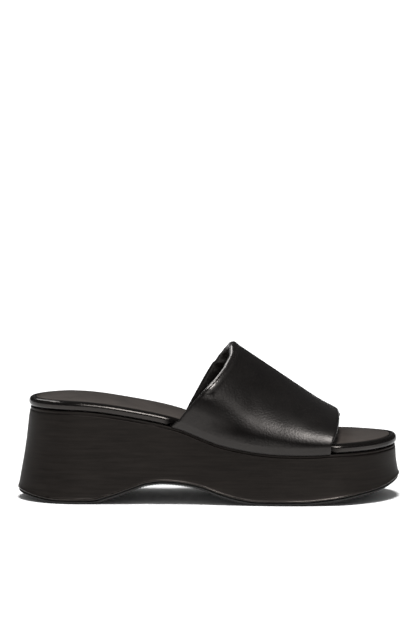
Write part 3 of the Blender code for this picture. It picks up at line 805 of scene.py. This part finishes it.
def bandPaintedGloss(place, length, over):
    x = bandEdge(over, "back") + place
    share = (x - heelX - band["backTop"]) / (band["frontTop"] - band["backTop"])
    rise = max(0, math.sin(math.pi * over)) ** (2 / readRow(crownRows, "along", "round", share))
    down = 1 - rise if over < 0.5 else 0
    down -= 0.045 * smoothStep((place / length - 0.5) / 0.5)
    along = readRow(paintedGlossAlong, "along", "paintedGloss", place / length)
    # only the shoulder changes along the band: the top and the foot are even
    top = smoothStep((0.50 + 0.12 * smoothStep(place / length / 0.5) - down) / 0.25)
    foot = smoothStep((down - 0.86) / 0.06)
    corner = smoothStep((down - 0.70) / 0.14) * (1 - smoothStep((place / length - 0.14) / 0.30))
    along += (1 - along) * max(0.75 * top, foot, corner)
    rest = along * max(readRow(paintedGlossDown, "down", "paintedGloss", down), corner)
    # painted highlight: extra gloss along the back rim
    rim = (1 - smoothStep((place / mm - 2.6) / 2)) * smoothStep((over - 0.12) / 0.02)
    rest += ((band["rimPaintedGloss"] if over < 0.5 else 1) - rest) * rim
    # painted shade: the reflection is dimmed on the far part of the front rim
    return rest * (1 - 0.8 * smoothStep((place / length - 0.95) / 0.03) * smoothStep((over - 0.2) / 0.1))


def bandEdge(over, column):
    side = "Near" if over < 0.5 else "Far"
    seam, top = band[column + side], band[column + "Top"]
    return heelX + seam + (top - seam) * readRow(edgeRows, "over", column, over)


def bandSection(x, over):
    share = (x - heelX - band["backTop"]) / (band["frontTop"] - band["backTop"])
    fall = readRow(crownRows, "along", "fall", share)
    fullness = readRow(crownRows, "along", "round", share)
    crown = band["instepTop"] + (band["vampTop"] - band["instepTop"]) * fall
    foot = deckHeight(x) + band["wall"]
    angle = math.pi * over
    rise = max(0, math.sin(angle)) ** (2 / fullness)
    if over < 0.5:
        flank = readRow(crownRows, "along", "flank", share)
        reach = max(0, 1 - rise ** flank) ** (1 / flank)
    else:
        reach = abs(math.cos(angle)) ** (2 / fullness)
    outer = halfWidth(x, "outer") + band["out"]
    inner = halfWidth(x, "inner") + band["out"]
    ridge = (inner - outer) / 2 + band["ridge"]
    y = ridge - (outer + ridge) * reach if over < 0.5 else ridge + (inner - ridge) * reach
    return Vector((x, y + shoeLineY, foot + (crown - foot) * rise))


# relief that follows the band's back edge: at is the distance from it
rimRows = [
    {"at": 2.2 * mm, "depth": -0.45 * mm, "reach": 1.6 * mm, "crown": 1.0},
    {"at": 7.5 * mm, "depth": 0.12 * mm, "reach": 3.0 * mm, "crown": 0.0},
]


def rimPush(along, over, length):
    shown = smoothStep((over - 0.11) / 0.05) * smoothStep((0.93 - over) / 0.1)
    aside = smoothStep(abs(over - 0.5) / 0.2)
    push = 0
    for row in rimRows:
        depth = row["depth"] * (row["crown"] + (1 - row["crown"]) * aside)
        push += depth * bump(along * length - row["at"], row["reach"])
    return push * shown


def foldPush(along, over, length, girth):
    push = 0
    here = Vector((along * length, over * girth))
    for fold in foldRows:
        start = Vector((fold["alongA"] * length, fold["overA"] * girth))
        end = Vector((fold["alongB"] * length, fold["overB"] * girth))
        run = end - start
        t = min(1, max(0, (here - start).dot(run) / run.length_squared))
        push += fold["depth"] * bump((here - start - run * t).length, fold["reach"] * band["wall"])
    return push


def bandPoint(along, over):
    # outer face between the band's edges, with its way outwards
    step = 0.1 * mm
    back, front = bandEdge(over, "back"), bandEdge(over, "front")
    x = back + (front - back) * along
    here = bandSection(x, over)
    forward = bandSection(x + step, over) - here
    around = bandSection(x, min(1, over + 1e-4)) - bandSection(x, max(0, over - 1e-4))
    normal = forward.cross(around)
    normal.normalize()
    girth = math.pi * (band["instepTop"] + band["vampTop"] - 2 * sole["ballHeight"]) / 2
    push = foldPush(along, over, front - back, girth) * band["wall"] + rimPush(along, over, front - back)
    return here - normal * push, normal


def alongSteps(length, wall):
    radius = wall / 2
    rim = [radius * (1 - math.cos(math.radians(a))) for a in (0, 15, 30, 45, 60, 75, 90)]
    inside = length - 2 * radius
    middle = [radius + inside * i / band["stepsAlong"] for i in range(1, band["stepsAlong"])]
    return rim + middle + [length - place for place in reversed(rim)]


def halfWall(place, length, wall):
    radius = wall / 2
    inward = min(place, length - place)
    if inward >= radius:
        return radius
    return math.sqrt(max(0, radius * radius - (radius - inward) ** 2))


def wallLoop(centres):
    outer = [middle + normal * half for middle, normal, half in centres]
    inner = [middle - normal * half for middle, normal, half in centres[1:-1]]
    return outer + inner[::-1]


def wallShare(over):
    first = footRows[0]["wall"]
    return first + (1 - first) * smoothStep(min(over, 1 - over) / 0.12)


def sideLoop(over):
    wall = band["wall"] * wallShare(over)
    length = bandEdge(over, "front") - bandEdge(over, "back")
    centres = []
    for place in alongSteps(length, wall):
        point, normal = bandPoint(place / length, over)
        centres.append((point - normal * wall / 2, normal, halfWall(place, length, wall)))
    return wallLoop(centres)


def footLoop(side, out, up, wall, turn, sweep):
    way, name = (-1, "Near") if side == "outer" else (1, "Far")
    back = heelX + band["back" + name] + sweep
    length = heelX + band["front" + name] - back
    angle = math.radians(turn)
    normal = Vector((0, way * math.cos(angle), -math.sin(angle)))
    centres = []
    for place in alongSteps(length, wall):
        x = back + place
        middle = Vector((x, shoeLineY + way * (halfWidth(x, side) + out), deckHeight(x) + up))
        centres.append((middle, normal, halfWall(place, length, wall)))
    return wallLoop(centres)


def bandFeet(side):
    wall = band["wall"]
    level = gap + band["marginWall"] / 2
    turnIn = -1.8 * mm
    keys = [
        {"out": -band["marginDepth"], "up": level, "wall": band["marginWall"], "turn": 90, "sweep": 0},
        {"out": (turnIn - band["marginDepth"]) / 2, "up": level, "wall": band["marginWall"], "turn": 90,
         "sweep": 0},
        {"out": turnIn, "up": level, "wall": band["marginWall"], "turn": 86, "sweep": 0},
    ]
    for row in reversed(footRows):
        keys.append({key: value if key == "turn" else value * wall for key, value in row.items()})
    for i, key in enumerate(keys):
        key["at"] = i
    loops = []
    steps = 5
    for i in range((len(keys) - 1) * steps + 1):
        at = i / steps
        out, up, thick, turn, sweep = [readRow(keys, "at", column, at)
                                       for column in ("out", "up", "wall", "turn", "sweep")]
        loops.append(footLoop(side, out, up, thick, turn, sweep))
    return loops


def makeBand():
    over = [i / band["stepsOver"] for i in range(band["stepsOver"] + 1)]
    loops = bandFeet("outer") + [sideLoop(o) for o in over] + bandFeet("inner")[::-1]
    bm = bmesh.new()
    layer = bm.verts.layers.float.new("paintedGloss")
    rings = growRings(bm, loops)
    for loop in (rings[0], rings[-1]):
        bmesh.ops.contextual_create(bm, geom=loop)
    feet = (len(rings) - len(over)) // 2
    # painted highlight and shade: each vertex gets the band's gloss mask
    for i, loop in enumerate(rings):
        o = min(1, max(0, (i - feet) / band["stepsOver"]))
        length = bandEdge(o, "front") - bandEdge(o, "back")
        for j, place in enumerate(alongSteps(length, band["wall"])):
            loop[j][layer] = bandPaintedGloss(place, length, o)
            loop[-j][layer] = min(1, loop[j][layer])
    # the inner face, away from the rims, is the lining
    count = len(loops[0])
    half = count // 2
    slots = 10
    for loop in rings:
        inside = loop[half + slots:count - slots]
        for vert in inside:
            vert.tag = True
    for face in bm.faces:
        face.material_index = 1 if all(vert.tag for vert in face.verts) else 0
    piece = finishPiece("bandPadded", bm, [nappaLeather(), liningLeather()])
    return piece


edge = outline()
for make, node, slot in (
    (makeOutsole, "outsole", "black_rubber"),
    (makePlatform, "platform", "wrapped_leather"),
    (makeFootbed, "footbed", "rolled_leather"),
    (makeSock, "sock", "sock_leather"),
):
    piece = make(edge)
    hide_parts(node)
    print(node, "made", len(piece.data.polygons), "faces")
bandPiece = makeBand()
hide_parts("upper")
print("upper made", len(bandPiece.data.polygons), "faces")


# Floor, light and camera

studio = {
    "floorSize": 80.0, "ceiling": 0.05, "backdrop": 0.1, "backdropTop": 0.14, "frontWall": 0.01,
    "tableGlow": 0.008,
    "keyStrength": 4.0, "keyElevation": 84, "keyAzimuth": 0, "keyAngle": 16,
    "skyStrength": 0.75, "skyElevation": 62, "skyAzimuth": -90, "skyAngle": 180,
    "fillStrength": 2.6, "fillElevation": 37, "fillAzimuth": 17, "fillAngle": 22,
    "stripStrength": 0.7, "stripElevation": 60, "stripAzimuth": -102, "stripAngle": 14,
    "rimStrength": 0.75, "rimElevation": 44, "rimAzimuth": -145, "rimAngle": 24,
}


def paintFloor():
    # Seamless white paper under the shoe: matt, with no grain that shows.
    material, tree, shader = newMaterial("white studio paper", "#f4f4f4", 0.9, {
        "Specular IOR Level": 0.0,
        "Emission Color": (1, 1, 1, 1), "Emission Strength": studio["tableGlow"],
    })
    return material


bm = bmesh.new()
bmesh.ops.create_grid(bm, x_segments=1, y_segments=1, size=studio["floorSize"] / 2)
floorMesh = bpy.data.meshes.new("studioFloor")
bm.to_mesh(floorMesh)
bm.free()
floor = bpy.data.objects.new("studioFloor", floorMesh)
floorMesh.materials.append(paintFloor())
bpy.context.scene.collection.objects.link(floor)

def lightRoom():
    # a dim room whose white backdrop stands behind the shoe
    world = bpy.data.worlds.new("studio")
    bpy.context.scene.world = world
    world.use_nodes = True
    tree = world.node_tree
    way = addNode(tree, "ShaderNodeSeparateXYZ",
                  links={"Vector": (addNode(tree, "ShaderNodeTexCoord"), "Generated")})
    behind = rangeTo(tree, (way, "Y"), -0.1, 0.6, studio["frontWall"], studio["backdrop"])
    above = rangeTo(tree, (way, "Z"), studio["backdropTop"] - 0.1, studio["backdropTop"] + 0.1, 0, 1)
    room = addNode(tree, "ShaderNodeMix", {"data_type": "FLOAT", "B": studio["ceiling"]},
                   {"Factor": (above, "Result"), "A": (behind, "Result")})
    background = tree.nodes["Background"]
    background.inputs["Color"].default_value = (1, 1, 1, 1)
    tree.links.new(room.outputs["Result"], background.inputs["Strength"])


lightRoom()


def aimSun(name, strength, azimuth, elevation, angle):
    # azimuth 0 shines from the camera's side of the shoe
    a, e = math.radians(azimuth), math.radians(elevation)
    lamp = bpy.data.lights.new(name, "SUN")
    lamp.energy = strength
    lamp.angle = math.radians(angle)
    holder = bpy.data.objects.new(name, lamp)
    holder.visible_diffuse = name.startswith(("key", "sky"))
    holder.visible_glossy = not holder.visible_diffuse
    towards = Vector((math.sin(a) * math.cos(e), -math.cos(a) * math.cos(e), math.sin(e)))
    holder.rotation_mode = "QUATERNION"
    holder.rotation_quaternion = towards.to_track_quat("Z", "Y")
    bpy.context.scene.collection.objects.link(holder)


for lamp in ("key", "sky", "fill", "strip", "rim"):
    aimSun(lamp + "Softbox", *(studio[lamp + part] for part in ("Strength", "Azimuth", "Elevation", "Angle")))

view = {
    "elevation": 8.5, "distance": 2.2, "pixelsPerMm": 1.458,
    "frameWidth": 416, "frameHeight": 624, "sensor": 36.0,
    "heelPixelX": 17.5, "groundPixelY": 496.5, "aimHeight": 45 * mm,
}


def placeCamera():
    # The photo's angle to the shoe, from a long lens tilted up so that the shoe sits low.
    v = view
    e = math.radians(v["elevation"])
    midX = heelX + (v["frameWidth"] / 2 - v["heelPixelX"]) / v["pixelsPerMm"] * mm
    target = Vector((midX, shoeLineY, v["aimHeight"]))
    lowBy = v["groundPixelY"] - v["frameHeight"] / 2
    lowBy -= v["pixelsPerMm"] * v["aimHeight"] / mm * math.cos(e)
    focal = v["pixelsPerMm"] / mm * v["distance"]
    tilt = math.atan(lowBy / focal)
    camera = bpy.data.cameras.new("photoCamera")
    camera.sensor_width = v["sensor"]
    camera.lens = focal * math.cos(tilt) * v["sensor"] / v["frameHeight"]
    camera.clip_end = 200
    holder = bpy.data.objects.new("photoCamera", camera)
    holder.location = target + Vector((0, -math.cos(e), math.sin(e))) * v["distance"]
    pitch = e - tilt
    aim = Vector((0, math.cos(pitch), -math.sin(pitch)))
    holder.rotation_mode = "QUATERNION"
    holder.rotation_quaternion = aim.to_track_quat("-Z", "Y")
    bpy.context.scene.collection.objects.link(holder)
    bpy.context.scene.camera = holder


placeCamera()
bpy.context.scene.view_settings.view_transform = "Standard"
print("studio set")
